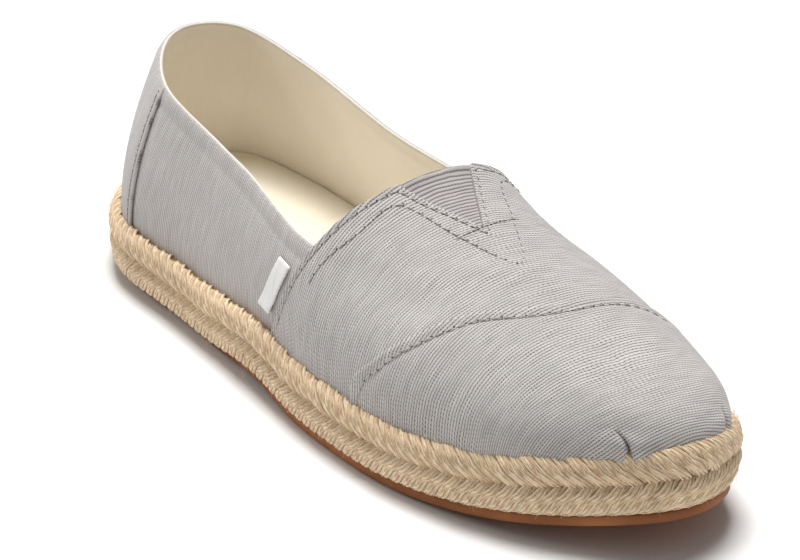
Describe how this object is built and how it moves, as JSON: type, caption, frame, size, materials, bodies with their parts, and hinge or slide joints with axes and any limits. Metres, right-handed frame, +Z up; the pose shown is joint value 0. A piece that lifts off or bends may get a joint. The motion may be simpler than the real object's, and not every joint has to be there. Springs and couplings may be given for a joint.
{
  "type": "espadrille shoe",
  "caption": "Right-foot slip-on espadrille: grey canvas upper with an open collar and notched throat on a plaited jute sole with thin rubber underneath.",
  "frame": {"origin": "on the floor under the middle of the shoe's bounding box", "axes": "+X from heel to toe, +Y to the inner side of the right foot, +Z up"},
  "size_m": [0.2506, 0.0858, 0.0621],
  "materials": {
    "sole_rubber": "matt moulded rubber",
    "jute": "plaited natural jute",
    "insole_cloth": "soft brushed cloth",
    "quarter_canvas": "woven cotton canvas",
    "vamp_canvas": "woven cotton canvas",
    "gore_elastic": "woven elastic",
    "tab_tape": "white woven tape, bare",
    "patch_cloth": "bare woven patch"
  },
  "bodies": {
    "root": {"outsole": "sole_rubber", "jute_midsole": "jute", "insole": "insole_cloth", "upper": "quarter_canvas", "vamp": "vamp_canvas", "toe_panel": "vamp_canvas", "heel_panel": "quarter_canvas", "throat_gore": "gore_elastic", "side_tab": "tab_tape", "heel_patch": "patch_cloth"}
  },
  "joints": []
}
